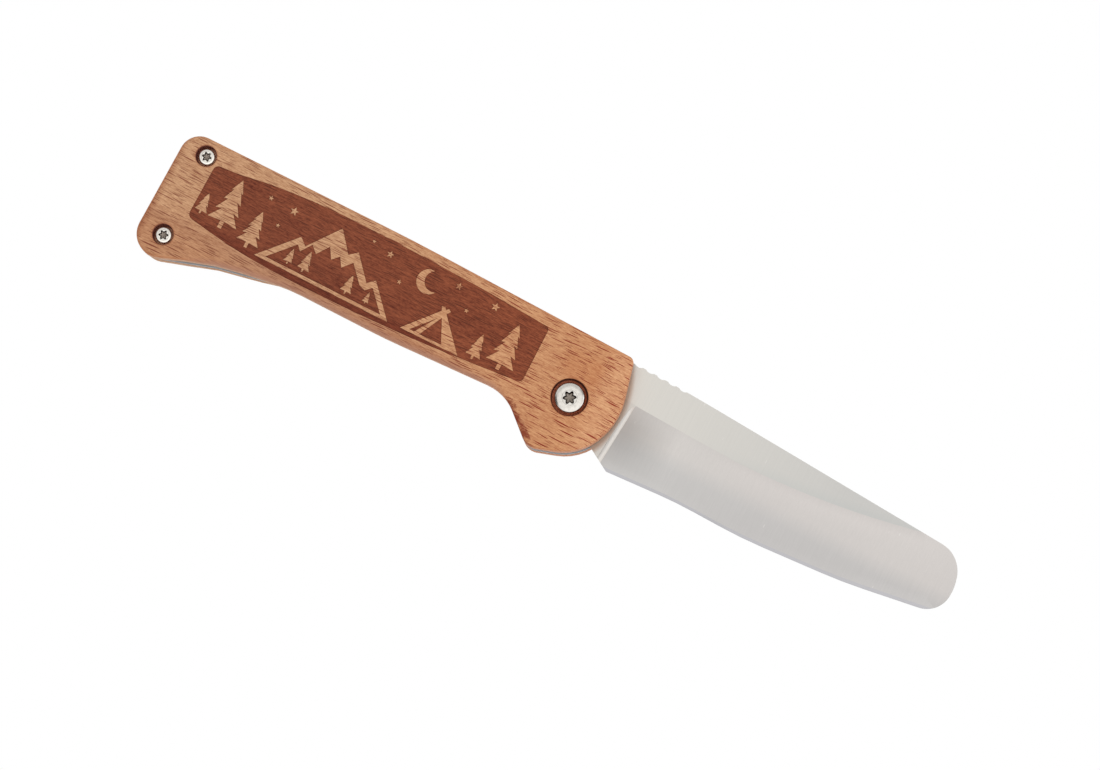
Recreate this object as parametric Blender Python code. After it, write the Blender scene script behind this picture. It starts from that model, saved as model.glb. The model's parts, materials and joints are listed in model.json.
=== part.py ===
# Folding knife: a hollow-ground blade with a round tip turns on a pivot between two steel
# liners, under two wooden scales, and a sprung leaf in the front liner locks it open.
# Lengths are in metres. +X points to the tip, +Y to the spine, +Z out of the front scale.
# The knife lies open on its rear scale, and its outlines are drawn about the pivot.

from math import acos, asin, atan2, ceil, cos, hypot, pi, radians, sin, sqrt, tan

import bmesh
import bpy
from mathutils import Matrix, Vector

mm = 0.001

# Handle outline, measured from the pivot
butt_reach = 95.35 * mm
front_reach = 10.65 * mm
back_height = 14.1 * mm
belly_depth = 13.2 * mm

# Each corner: along (share of the butt reach behind the pivot, of the front reach ahead of it),
# up (share of the back height above the pivot, of the belly depth below it),
# and radius (share of the back height).
handle_corner_shares = (
    (0.767, 0.930, 0.095),    # front top corner
    (-0.455, 1.003, 35.3),    # long crown of the back
    (-0.994, 0.972, 0.306),   # butt, back corner
    (-1.002, -1.184, 0.350),  # butt, belly corner
    (-0.815, -0.653, 3.96),   # flare
    (-0.648, -0.477, 2.85),   # end of the flare
    (-0.415, -0.480, 9.55),   # belly
    (-0.1293, -0.383, 0.705),  # finger hollow
    (-0.0351, -0.986, 0.233),  # guard
    (0.656, -0.732, 0.819),   # under the blade
    (1.073, 0.002, 0.997),    # front end
)

# Layers across the handle
scale_thickness = 4.0 * mm
liner_thickness = 1.2 * mm
washer_thickness = 0.3 * mm
blade_thickness = 2.5 * mm
seat_gap = 0.02 * mm
fit_gap = 0.05 * mm
scale_edge_round = 0.6 * mm
liner_inset = 0.1 * mm

# Belly between flare and guard: rounder outside, and set back behind the front scale
# so that the thumb finds the lock leaf. Each stretch: start and end as shares of the butt reach.
belly_round = 1.3 * mm
belly_relief = 0.6 * mm
belly_round_shares = (0.89, 0.09)
belly_relief_shares = (0.74, 0.05)
belly_fade = 6.0 * mm

# The plates behind the front scale are also set back at the butt's belly corner.
corner_relief = 0.35 * mm
corner_relief_shares = (1.12, 0.87)

# Pivot
barrel_radius = 2.5 * mm
washer_radius = 5.4 * mm
pivot_shank_radius = 1.5 * mm
pivot_head_radius = 3.05 * mm
pivot_head_height = 1.7 * mm
pivot_head_sink = 0.5 * mm
pivot_bore_radius = 3.85 * mm
pivot_star_radius = 1.5 * mm
pivot_star_depth = 1.0 * mm

# Butt screws and standoffs
butt_screw_inset = 5.5 * mm
upper_screw_height = 10.2 * mm
lower_screw_depth = 8.2 * mm
standoff_radius = 1.8 * mm
butt_shank_radius = 0.9 * mm
butt_head_radius = 1.7 * mm
butt_head_height = 1.1 * mm
butt_head_sink = 1.2 * mm
butt_bore_radius = 2.2 * mm
butt_star_radius = 1.05 * mm
butt_star_depth = 0.6 * mm

# Shape of the screw heads
head_flat_share = 0.72
head_dome_share = 0.42
star_ring_share = 1.12
star_valley_share = 0.70
star_dish_share = 0.12
shank_chamfer_share = 0.2
screw_end_gap = 0.5 * mm

# Blade
tip_gap = 0.3 * mm
spine_height = 12.82 * mm
edge_depth = 9.4 * mm
heel_reach = 13.2 * mm

# Corners of the blade ahead of the tang: along (share of the blade's reach), up (share of the
# spine height above the pivot, of the edge depth below it), radius (share of the spine height).
blade_corner_shares = (
    (0.0546, 1.0, 3.90),      # where the spine leaves the handle
    (0.239, 0.961, 31.2),     # crown of the spine
    (0.9758, 0.632, 0.512),   # tip, spine side
    (1.0005, 0.134, 0.893),   # tip
    (0.9922, -0.509, 0.445),  # tip, edge side
    (0.757, -0.836, 8.58),    # belly of the edge
    (0.501, -0.989, 8.58),    # fullest part of the edge
    (0.329, -0.943, 7.02),    # slight hollow in the edge
)
heel_corner_share = 1.04
heel_round = 0.7 * mm

# Hollow grind and edge
grind_top_height = 5.0 * mm
grind_low_height = 4.1 * mm
grind_turn_share = 0.40
grind_meet_share = 0.870
grind_wheel_radius = 95.0 * mm
edge_straight_share = 0.93
plunge_reach = 11.45 * mm
plunge_radius = 1.1 * mm
plunge_slant = radians(5)
edge_shoulder = 0.4 * mm
edge_bevel_width = 0.6 * mm
edge_land = 0.06 * mm

# Thumb notches on the spine
notch_count = 5
notch_pitch = 2.6 * mm
notch_start = 9.4 * mm
notch_radius = 1.6 * mm
notch_depth = 0.3 * mm

# Tang: stops, lock face and detent
stop_pin_radius = 1.5 * mm
stop_distance = 8.0 * mm
stop_angle = radians(135)
fold_angle = pi
tang_relief = 0.1 * mm
tang_rear_reach = 3.5 * mm
tang_rear_height = 11.3 * mm
tang_corner_round = 1.5 * mm
tang_fillet = 0.3 * mm
shoulder_share = 1.2
kick_share = 1.25
kick_drop = 0.65 * mm
lock_face_angle = radians(205)
lock_face_distance = 5.75 * mm
detent_radius = 8.5 * mm
detent_angle = radians(208)
detent_ball_radius = 0.7 * mm
detent_stand = 0.5 * mm
detent_hole_depth = 0.6 * mm

# Lock leaf
leaf_root_reach = 60.0 * mm
leaf_top_drop = 0.8 * mm
leaf_belly_margin = 0.9 * mm
leaf_nose_depth = 5.3 * mm
leaf_nose_share = 0.28
leaf_round = 0.5 * mm
leaf_slit = 0.8 * mm
leaf_engagement = 0.8 * mm
window_guard_reach = 9.5 * mm

# Thumb cut-out in the rear scale and liner
thumb_reach = 17.5 * mm
thumb_depth = 11.6 * mm
thumb_radius = 9.0 * mm
thumb_step = 0.5 * mm

# Fineness of the model
arc_step = radians(8)
straight_enough = radians(0.1)
longest_side = 4.0 * mm
round_steps = 3
fine_facets = 48
small_facets = 28
ball_facets = 16
star_facets = 36
section_steps = 7
grind_stations = 26
plunge_stations = 6
overrun = 1.0 * mm

# Levels of the layers, from the rear scale's outer face at zero
low, high = {}, {}
level = 0.0
for layer, thickness in (
    ("rear_scale", scale_thickness),
    ("rear_liner", liner_thickness),
    ("rear_washer", washer_thickness),
    ("blade", blade_thickness),
    ("front_washer", washer_thickness),
    ("front_liner", liner_thickness),
    ("front_scale", scale_thickness),
):
    low[layer] = level
    high[layer] = level + thickness
    level = high[layer] + seat_gap
blade_middle = (low["blade"] + high["blade"]) / 2


def polar(radius, angle):
    return (radius * cos(angle), radius * sin(angle))


def arc(radius, start, end):
    """Points of an arc about the pivot."""
    steps = max(2, ceil(abs(end - start) / arc_step))
    return [polar(radius, start + (end - start) * k / steps) for k in range(steps + 1)]


def rounded(corners):
    """A closed outline: each corner (x, y, radius) becomes an arc that fits its two sides."""
    count = len(corners)
    turns = []
    for k, (x, y, radius) in enumerate(corners):
        here = Vector((x, y))
        back = (Vector(corners[k - 1][:2]) - here).normalized()
        ahead = (Vector(corners[(k + 1) % count][:2]) - here).normalized()
        half = back.angle(ahead) / 2
        turns.append([here, back, ahead, half, radius / tan(half)])
    for k in range(count):
        # two arcs on one side share its length
        side = (turns[(k + 1) % count][0] - turns[k][0]).length
        used = turns[k][4] + turns[(k + 1) % count][4]
        if used > side:
            turns[k][4] *= side / used
            turns[(k + 1) % count][4] *= side / used
    points = []
    for here, back, ahead, half, tangent in turns:
        radius = tangent * tan(half)
        if radius <= 0 or half > pi / 2 - straight_enough:
            points.append(tuple(here))
            continue
        centre = here + (back + ahead).normalized() * (radius / sin(half))
        start = here + back * tangent - centre
        swing = start.angle_signed(here + ahead * tangent - centre)
        steps = max(2, ceil(abs(swing) / arc_step))
        for j in range(steps + 1):
            spoke = start.copy()
            spoke.rotate(Matrix.Rotation(-swing * j / steps, 2))
            points.append(tuple(centre + spoke))
    return points


def divided(outline):
    """The closed outline with its long sides split, so that it can change along them."""
    points = []
    for k, (x, y) in enumerate(outline):
        x0, y0 = outline[k - 1]
        steps = max(1, ceil(hypot(x - x0, y - y0) / longest_side))
        points += [(x0 + (x - x0) * j / steps, y0 + (y - y0) * j / steps)
                   for j in range(1, steps + 1)]
    return points


def inset(outline, distances):
    """The closed outline moved inwards, each point by its own distance."""
    count = len(outline)
    area = sum(outline[k - 1][0] * outline[k][1] - outline[k][0] * outline[k - 1][1]
               for k in range(count))
    points = []
    for k, (x, y) in enumerate(outline):
        side = distances[k] if area > 0 else -distances[k]
        before, after = outline[k - 1], outline[(k + 1) % count]
        one = Vector((before[1] - y, x - before[0])).normalized()
        two = Vector((y - after[1], after[0] - x)).normalized()
        move = (one + two) * (side / (1 + one.dot(two)))
        points.append((x + move.x, y + move.y))
    return points


def handle_corners():
    corners = []
    for along, up, radius in handle_corner_shares:
        x = along * (front_reach if along > 0 else butt_reach)
        y = up * (back_height if up > 0 else belly_depth)
        corners.append((x, y, radius * back_height))
    return corners


def belly_part(outline, shares):
    """For each point, how far it belongs to a stretch of the belly, from 0 to 1."""
    start, end = (-share * butt_reach for share in shares)
    parts = []
    for x, y in outline:
        part = min(1, max(0, min(x - start, end - x, -y) / belly_fade))
        parts.append(part * part * (3 - 2 * part))
    return parts


def butt_at(y):
    """How far along the butt face stands at the height y."""
    (x0, y0, _), (x1, y1, _) = sorted(handle_corners())[:2]
    return x0 + (x1 - x0) * (y - y0) / (y1 - y0)


screw_places = {
    "upper": (butt_at(upper_screw_height) + butt_screw_inset, upper_screw_height),
    "lower": (butt_at(-lower_screw_depth) + butt_screw_inset, -lower_screw_depth),
}
blade_reach = min(hypot(*place) for place in screw_places.values()) - standoff_radius - tip_gap


def tang_corners():
    """From the tang's spine round its rear to the kick, with the path of the stop pin left free."""
    clear = stop_pin_radius + fit_gap
    relief = stop_distance - stop_pin_radius - tang_relief
    root = sqrt(relief * relief - clear * clear)
    closed_angle = stop_angle + fold_angle
    rim = stop_distance * shoulder_share

    def shoulder(angle, reach, side):
        # a point beside the pin's radial line, on the side where the tang stands
        ux, uy = polar(1, angle)
        return (ux * reach - side * uy * clear, uy * reach + side * ux * clear)

    open_root = shoulder(stop_angle, root, -1)
    closed_root = shoulder(closed_angle, root, 1)
    kick = shoulder(closed_angle, stop_distance * kick_share, 1)
    flat = acos(lock_face_distance / relief)
    first = atan2(open_root[1], open_root[0]) % (2 * pi)
    last = atan2(closed_root[1], closed_root[0]) % (2 * pi)
    corners = [
        (-tang_rear_reach, tang_rear_height, tang_corner_round),
        (*shoulder(stop_angle, rim, -1), tang_fillet),
    ]
    corners += [(x, y, 0) for x, y in arc(relief, first, lock_face_angle - flat)]
    corners += [(x, y, 0) for x, y in arc(relief, lock_face_angle + flat, last)]
    corners.append((*kick, tang_fillet))
    corners.append((kick[0] - tang_fillet, kick[1] - kick_drop, tang_fillet))
    return corners


def blade_corners():
    corners = []
    for along, up, radius in blade_corner_shares:
        y = up * (spine_height if up > 0 else edge_depth)
        corners.append((along * blade_reach, y, radius * spine_height))
    corners.append((heel_reach, -heel_corner_share * edge_depth, heel_round))
    return corners + tang_corners()[::-1]


def lowest_at(outline, x):
    """The outline's lowest height at x."""
    heights = []
    for k in range(len(outline)):
        (x0, y0), (x1, y1) = outline[k - 1], outline[k]
        if min(x0, x1) <= x <= max(x0, x1) and x0 != x1:
            heights.append(y0 + (y1 - y0) * (x - x0) / (x1 - x0))
    return min(heights)


def highest_at(outline, x):
    """The outline's highest height at x."""
    return -lowest_at([(px, -py) for px, py in outline], x)


def prism(rings):
    """A closed solid through rings of equal length, each an outline and its level or levels."""
    solid = bmesh.new()
    loops = []
    for outline, z in rings:
        levels = z if isinstance(z, list) else [z] * len(outline)
        loops.append([solid.verts.new((*spot, up)) for spot, up in zip(outline, levels)])
    count = len(loops[0])
    for under, over in zip(loops, loops[1:]):
        for k in range(count):
            solid.faces.new((under[k - 1], under[k], over[k], over[k - 1]))
    solid.faces.new(loops[0][::-1])
    solid.faces.new(loops[-1])
    bmesh.ops.recalc_face_normals(solid, faces=solid.faces)
    return solid


def turned(profile, facets):
    """A solid turned about Z from (radius, level) points; a profile off the axis closes on itself."""
    solid = bmesh.new()
    flat_start = profile[0][0] == 0 and profile[0][1] == profile[1][1]
    flat_end = profile[-1][0] == 0 and profile[-1][1] == profile[-2][1]
    kept = profile[1 if flat_start else 0:-1 if flat_end else None]
    rings = []
    for radius, z in kept:
        spots = 1 if radius == 0 else facets
        rings.append([solid.verts.new((*polar(radius, 2 * pi * k / facets), z)) for k in range(spots)])
    pairs = list(zip(rings, rings[1:]))
    if profile[0][0] > 0:
        pairs.append((rings[-1], rings[0]))
    for one, two in pairs:
        for k in range(facets):
            if len(one) == 1:
                solid.faces.new((one[0], two[k], two[k - 1]))
            elif len(two) == 1:
                solid.faces.new((one[k - 1], one[k], two[0]))
            else:
                solid.faces.new((one[k - 1], one[k], two[k], two[k - 1]))
    if flat_start:
        solid.faces.new(rings[0])
    if flat_end:
        solid.faces.new(rings[-1])
    bmesh.ops.recalc_face_normals(solid, faces=solid.faces)
    return solid


def rod(radius, bottom, top, facets):
    """A plain round solid between two levels."""
    return turned([(0, bottom), (radius, bottom), (radius, top), (0, top)], facets)


def material(name, colour, roughness, metallic):
    finish = bpy.data.materials.new(name)
    finish.use_nodes = True
    shader = finish.node_tree.nodes["Principled BSDF"]
    shader.inputs["Base Color"].default_value = (*colour, 1)
    shader.inputs["Roughness"].default_value = roughness
    shader.inputs["Metallic"].default_value = metallic
    finish.diffuse_color = (*colour, 1)
    return finish


def add(name, solid, place, finish=None):
    """Puts a solid in the scene; without a finish it is a cutter."""
    mesh = bpy.data.meshes.new(name)
    solid.to_mesh(mesh)
    solid.free()
    thing = bpy.data.objects.new(name, mesh)
    bpy.context.scene.collection.objects.link(thing)
    thing.location = place
    if finish:
        mesh.materials.append(finish)
        mesh.shade_smooth()
        mesh.set_sharp_from_angle(angle=radians(30))
    else:
        thing.hide_render = True
        thing.display_type = "WIRE"
    return thing


def cut(thing, cutter):
    step = thing.modifiers.new(cutter.name, "BOOLEAN")
    step.operation = "DIFFERENCE"
    step.solver = "EXACT"
    step.object = cutter


def drill(thing, name, place, radius, bottom, top, facets):
    """A round hole through the levels from bottom to top."""
    cut(thing, add(name, rod(radius, bottom, top, facets), (*place, 0)))


def empty(name, place):
    axis = bpy.data.objects.new(name, None)
    axis.empty_display_size = barrel_radius
    axis.location = place
    bpy.context.scene.collection.objects.link(axis)
    return axis


def hang(thing, axis):
    """The thing keeps its own place, given from the axis."""
    thing.parent = axis


def clear_scene():
    for thing in list(bpy.data.objects):
        bpy.data.objects.remove(thing, do_unlink=True)


clear_scene()

handle_outline = divided(rounded(handle_corners()))
relieved_outline = inset(handle_outline, [
    belly_relief * belly + corner_relief * corner
    for belly, corner in zip(belly_part(handle_outline, belly_relief_shares),
                             belly_part(handle_outline, corner_relief_shares))])
blade_outline = rounded(blade_corners())
reach_x = [x for x, y in handle_outline + blade_outline]
reach_y = [y for x, y in handle_outline + blade_outline]
pivot = (-(min(reach_x) + max(reach_x)) / 2, -(min(reach_y) + max(reach_y)) / 2)

beech = (0.59, 0.32, 0.17)
steel = (0.62, 0.61, 0.59)
bright = (0.70, 0.70, 0.69)
bronze = (0.72, 0.48, 0.22)


def on_handle(place):
    """A place on the handle, in the knife's own frame."""
    return (pivot[0] + place[0], pivot[1] + place[1])


def scale_plate(side):
    """A wooden scale with its outer rim rounded over, on the front or the rear side."""
    outline = handle_outline if side == "front" else relieved_outline
    rounds = [scale_edge_round + (belly_round - scale_edge_round) * part
              for part in belly_part(outline, belly_round_shares)]
    rings = [(outline, [0] * len(outline))]
    for k in range(round_steps + 1):
        turn = pi / 2 * k / round_steps
        rings.append((inset(outline, [one * (1 - cos(turn)) for one in rounds]),
                      [scale_thickness - one * (1 - sin(turn)) for one in rounds]))
    name = side + "_scale"
    if side == "rear":
        rings = [(ring, [scale_thickness - z for z in levels]) for ring, levels in rings]
    plate = add(name, prism(rings), (*pivot, low[name]), material(name, beech, 0.55, 0))

    outer = high[name] if side == "front" else low[name]
    inner = low[name] if side == "front" else high[name]
    out = 1 if side == "front" else -1
    seats = [("pivot", (0, 0), pivot_head_sink + pivot_head_height, pivot_bore_radius,
              pivot_shank_radius, fine_facets)]
    for spot, place in screw_places.items():
        seats.append((spot, place, butt_head_sink + butt_head_height, butt_bore_radius,
                      butt_shank_radius, small_facets))
    for spot, place, depth, bore, shank, facets in seats:
        ends = sorted((outer - out * (depth + seat_gap), outer + out * overrun))
        drill(plate, f"{name}_{spot}_counterbore", on_handle(place), bore, *ends, facets)
        ends = sorted((inner - out * overrun, outer - out * depth + out * overrun))
        drill(plate, f"{name}_{spot}_hole", on_handle(place), shank + fit_gap, *ends, facets)
    return plate


def liner_plate(side):
    """A steel liner, a little inside the scales, drilled for barrel, stop pin and butt screws."""
    name = side + "_liner"
    outline = inset(relieved_outline, [liner_inset] * len(relieved_outline))
    plate = add(name, prism([(outline, 0), (outline, liner_thickness)]), (*pivot, low[name]),
                material(name, steel, 0.35, 1))
    ends = (low[name] - overrun, high[name] + overrun)
    drill(plate, name + "_pivot_hole", pivot, barrel_radius + fit_gap, *ends, fine_facets)
    drill(plate, name + "_stop_hole", on_handle(polar(stop_distance, stop_angle)),
          stop_pin_radius + fit_gap, *ends, small_facets)
    for spot, place in screw_places.items():
        drill(plate, f"{name}_{spot}_hole", on_handle(place), butt_shank_radius + fit_gap,
              *ends, small_facets)
    return plate


def cut_thumb_notch(plate, name, radius):
    """The hollow through which the thumb reaches the lock leaf."""
    notch = on_handle((-thumb_reach, -thumb_depth))
    drill(plate, name + "_thumb_notch", notch, radius, low[name] - overrun, high[name] + overrun,
          fine_facets)


def lock_line(distance, y):
    """Where a line parallel to the lock face, this far from the pivot, crosses the height y."""
    return (distance - y * sin(lock_face_angle)) / cos(lock_face_angle)


def leaf_outline():
    """The leaf from its root to the nose that stands behind the tang."""
    face = lock_face_distance + fit_gap
    top = -leaf_top_drop
    nose = -leaf_nose_depth
    knee = -leaf_root_reach * leaf_nose_share
    root = -leaf_root_reach + fit_gap
    belly = [(x, lowest_at(handle_outline, x) + leaf_belly_margin)
             for x in (root, (root + knee) / 2, knee)]
    return rounded([
        (root, top, 0),
        (*belly[0], 0),
        (*belly[1], leaf_root_reach),
        (*belly[2], leaf_root_reach / 2),
        (knee / 2, nose, leaf_root_reach / 2),
        (lock_line(face, nose), nose, leaf_round),
        (lock_line(face, top), top, leaf_round / 2),
    ])


def cut_leaf_window(plate):
    """The slit round the leaf, open to the belly, that parts it from the rest of the liner."""
    top = -leaf_top_drop + leaf_slit
    face = lock_face_distance - leaf_slit
    under = -leaf_nose_depth - leaf_slit
    window = rounded([
        (-leaf_root_reach, top, leaf_slit),
        (-leaf_root_reach, -belly_depth - overrun, 0),
        (-window_guard_reach, -belly_depth - overrun, 0),
        (-window_guard_reach, under, leaf_round),
        (lock_line(face, under), under, leaf_round),
        (lock_line(face, top), top, leaf_round),
    ])
    rings = [(window, low["front_liner"] - overrun), (window, high["front_liner"] + overrun)]
    cut(plate, add("leaf_window", prism(rings), (*pivot, 0)))


def lock_leaf():
    """The leaf and its detent ball, turned in about the root until the nose stands behind the tang."""
    half = liner_thickness / 2
    travel = low["front_liner"] - high["blade"] + leaf_engagement
    swing = asin(travel / (leaf_root_reach - lock_face_distance))
    root = empty("leaf_root", (pivot[0] - leaf_root_reach, pivot[1], low["front_liner"] + half))
    root.rotation_euler = (0, swing, 0)

    outline = [(x + leaf_root_reach, y) for x, y in leaf_outline()]
    leaf = add("lock_leaf", prism([(outline, -half), (outline, half)]), (0, 0, 0),
               material("lock_leaf", steel, 0.35, 1))
    hang(leaf, root)

    x, y = polar(detent_radius, detent_angle)
    spot = (x + leaf_root_reach, y, 0)
    socket = add("detent_socket", rod(detent_ball_radius + fit_gap, -half - overrun, half + overrun,
                                      small_facets), spot)
    hang(socket, root)
    cut(leaf, socket)

    centre = detent_ball_radius - half - detent_stand
    steps = ball_facets // 2
    profile = [(0, centre - detent_ball_radius)]
    for k in range(1, steps):
        turn = -pi / 2 + pi * k / steps
        profile.append((detent_ball_radius * cos(turn), centre + detent_ball_radius * sin(turn)))
    profile.append((0, centre + detent_ball_radius))
    ball = add("detent_ball", turned(profile, ball_facets), spot,
               material("detent_ball", bright, 0.2, 1))
    hang(ball, root)
    return swing


def grind_line(x):
    """Height of the line where the flat of the blade turns into the hollow grind."""
    turn = grind_turn_share * blade_reach
    meet = grind_meet_share * blade_reach
    fall = min(1, (x - plunge_reach) / (turn - plunge_reach))
    height = grind_top_height + (grind_low_height - grind_top_height) * fall
    if x > turn:
        height += (meet_height - grind_low_height) * ((x - turn) / (meet - turn)) ** 2
    return height


def edge_line(x):
    """Height of the cutting edge, carried on straight past the heel and the round of the tip."""
    start = heel_reach + heel_round
    end = edge_straight_share * blade_reach
    last = lowest_at(blade_outline, end)
    if x > end:
        return last + (last - lowest_at(blade_outline, end - overrun)) / overrun * (x - end)
    return lowest_at(blade_outline, max(x, start))


def grind_section(x, lift):
    """Outline of the grinding cut across the blade: the hollow, the edge bevel and the room outside."""
    half = blade_thickness / 2
    top = (grind_line(x), half)
    shoulder = (edge_line(x) + edge_bevel_width, edge_shoulder / 2)
    chord = hypot(top[0] - shoulder[0], top[1] - shoulder[1])
    bow = grind_wheel_radius - sqrt(grind_wheel_radius ** 2 - chord ** 2 / 4)
    down = ((shoulder[0] - top[0]) / chord, (shoulder[1] - top[1]) / chord)
    across = (-down[1], down[0])
    section = []
    for k in range(-1, section_steps + 1):
        share = k / section_steps
        dip = bow * 4 * share * (1 - share)
        y = top[0] + down[0] * chord * share + across[0] * dip
        z = top[1] + down[1] * chord * share + across[1] * dip
        section.append((y, z + lift))
    edge = edge_line(x)
    section.append((edge, edge_land / 2 + lift))
    section.append((edge - overrun, edge_land / 2 + lift))
    section.append((edge - overrun, half + plunge_radius + overrun))
    section.append((section[0][0], half + plunge_radius + overrun))
    return section


def grind_cutter(side):
    """The hollow cut on one side of the blade, swept from the plunge at the heel past the tip."""
    solid = bmesh.new()
    stations = []
    for k in range(plunge_stations):
        turn = pi / 2 * k / plunge_stations
        stations.append((plunge_reach + plunge_radius * (1 - cos(turn)), plunge_radius * (1 - sin(turn))))
    start = plunge_reach + plunge_radius
    end = blade_reach + edge_depth * tan(plunge_slant) + overrun
    for k in range(grind_stations + 1):
        stations.append((start + (end - start) * k / grind_stations, 0))
    loops = []
    for x, lift in stations:
        loop = []
        for y, z in grind_section(x, lift):
            slant = (y - grind_top_height) * tan(plunge_slant)
            loop.append(solid.verts.new((x + slant, y, side * z)))
        loops.append(loop)
    count = len(loops[0])
    for one, two in zip(loops, loops[1:]):
        for k in range(count):
            solid.faces.new((one[k - 1], one[k], two[k], two[k - 1]))
    solid.faces.new(loops[0])
    solid.faces.new(loops[-1][::-1])
    bmesh.ops.recalc_face_normals(solid, faces=solid.faces)
    return solid


def notch_cutter():
    """Round cutters in a row for the thumb notches on the spine."""
    solid = bmesh.new()
    half = blade_thickness / 2 + overrun
    for k in range(notch_count):
        x = notch_start + k * notch_pitch
        y = highest_at(blade_outline, x) + notch_radius - notch_depth
        bit = rod(notch_radius, -half, half, small_facets)
        bmesh.ops.translate(bit, verts=bit.verts, vec=(x, y, 0))
        piece = bpy.data.meshes.new("notch")
        bit.to_mesh(piece)
        bit.free()
        solid.from_mesh(piece)
    return solid


meet_height = highest_at(blade_outline, grind_meet_share * blade_reach)


def blade():
    """Blade and tang in one piece, with its origin on the pivot."""
    half = blade_thickness / 2
    axis = empty("blade_axis", (*pivot, blade_middle))
    body = add("blade", prism([(blade_outline, -half), (blade_outline, half)]), (0, 0, 0),
               material("blade", steel, 0.3, 1))
    hang(body, axis)
    cutters = [
        ("front_grind", grind_cutter(1), (0, 0, 0)),
        ("rear_grind", grind_cutter(-1), (0, 0, 0)),
        ("thumb_notches", notch_cutter(), (0, 0, 0)),
        ("pivot_bore", rod(barrel_radius + fit_gap, -half - overrun, half + overrun, fine_facets),
         (0, 0, 0)),
        ("detent_hole", rod(detent_ball_radius + fit_gap, half - detent_hole_depth, half + overrun,
                            small_facets), (*polar(detent_radius, detent_angle - fold_angle), 0)),
    ]
    for name, solid, place in cutters:
        cutter = add(name, solid, place)
        hang(cutter, axis)
        cut(body, cutter)


def ring(name, outer, inner, bottom, top, place, finish, facets):
    profile = [(inner, bottom), (outer, bottom), (outer, top), (inner, top)]
    return add(name, turned(profile, facets), (*place, 0), finish)


def star(radius, facets):
    """Six-lobed outline of the driver recess."""
    valley = radius * star_valley_share
    points = []
    for k in range(facets):
        turn = 2 * pi * (k + 1 / 2) / facets
        points.append(polar((radius + valley) / 2 + (radius - valley) / 2 * cos(6 * turn), turn))
    return points


def screw(name, place, seat, out, sizes, facets):
    """A domed screw with a star recess; its head stands on the seat level, facing out."""
    head, height, shank, star_radius, star_depth = sizes
    length = abs(seat - blade_middle) - screw_end_gap
    dish = star_radius * star_dish_share
    star_ring = star_radius * star_ring_share
    flat = head * head_flat_share
    rim = height * (1 - head_dome_share)
    chamfer = shank * shank_chamfer_share
    profile = [(0, height - dish), (star_ring - dish, height - dish), (star_ring, height)]
    for k in range(round_steps + 1):
        turn = pi / 2 * k / round_steps
        profile.append((flat + (head - flat) * sin(turn), rim + (height - rim) * cos(turn)))
    profile += [(head, 0), (shank, 0), (shank, chamfer - length), (shank - chamfer, -length), (0, -length)]
    body = add(name, turned(profile, facets), (*place, seat), material(name, bright, 0.25, 1))
    recess = star(star_radius, star_facets)
    rings = [(recess, height - star_depth), (recess, height + overrun)]
    key = add(name + "_star", prism(rings), (*place, seat))
    if out < 0:
        body.rotation_euler = (pi, 0, 0)
        key.rotation_euler = (pi, 0, 0)
    cut(body, key)


def fasteners():
    """Pivot barrel and screws, stop pin, standoffs and the four butt screws."""
    outer = {"front": high["front_scale"], "rear": low["rear_scale"]}
    out = {"front": 1, "rear": -1}
    ring("pivot_barrel", barrel_radius, pivot_shank_radius + fit_gap, low["rear_liner"],
         high["front_liner"], pivot, material("pivot_barrel", steel, 0.3, 1), fine_facets)
    for side in ("front", "rear"):
        ring(side + "_washer", washer_radius, barrel_radius + fit_gap, low[side + "_washer"],
             high[side + "_washer"], pivot, material(side + "_washer", bronze, 0.4, 1), fine_facets)
        seat = outer[side] - out[side] * (pivot_head_sink + pivot_head_height)
        screw(side + "_pivot_screw", pivot, seat, out[side],
              (pivot_head_radius, pivot_head_height, pivot_shank_radius, pivot_star_radius,
               pivot_star_depth), fine_facets)
    pin = rod(stop_pin_radius, low["rear_liner"], high["front_liner"], small_facets)
    add("stop_pin", pin, (*on_handle(polar(stop_distance, stop_angle)), 0),
        material("stop_pin", steel, 0.3, 1))
    for spot, place in screw_places.items():
        ring(spot + "_standoff", standoff_radius, butt_shank_radius + fit_gap,
             high["rear_liner"] + seat_gap, low["front_liner"] - seat_gap, on_handle(place),
             material(spot + "_standoff", steel, 0.3, 1), small_facets)
        for side in ("front", "rear"):
            seat = outer[side] - out[side] * (butt_head_sink + butt_head_height)
            screw(f"{side}_{spot}_screw", on_handle(place), seat, out[side],
                  (butt_head_radius, butt_head_height, butt_shank_radius, butt_star_radius,
                   butt_star_depth), small_facets)


scale_plate("front")
rear_scale = scale_plate("rear")
front_liner = liner_plate("front")
rear_liner = liner_plate("rear")
cut_thumb_notch(rear_scale, "rear_scale", thumb_radius)
cut_thumb_notch(rear_liner, "rear_liner", thumb_radius - thumb_step)
cut_leaf_window(front_liner)
leaf_swing = lock_leaf()
blade()
fasteners()
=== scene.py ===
# Looks of the open folding knife: beech scales with an etched camp scene, brushed steel and
# bright star-recess screws, on a pale floor under soft light. Lengths are in metres.

import json
from functools import reduce
from math import acos, cos, pi, radians, sin, tan

import bmesh
import bpy
from mathutils import Matrix, Vector
from mathutils.geometry import delaunay_2d_cdt


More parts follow.
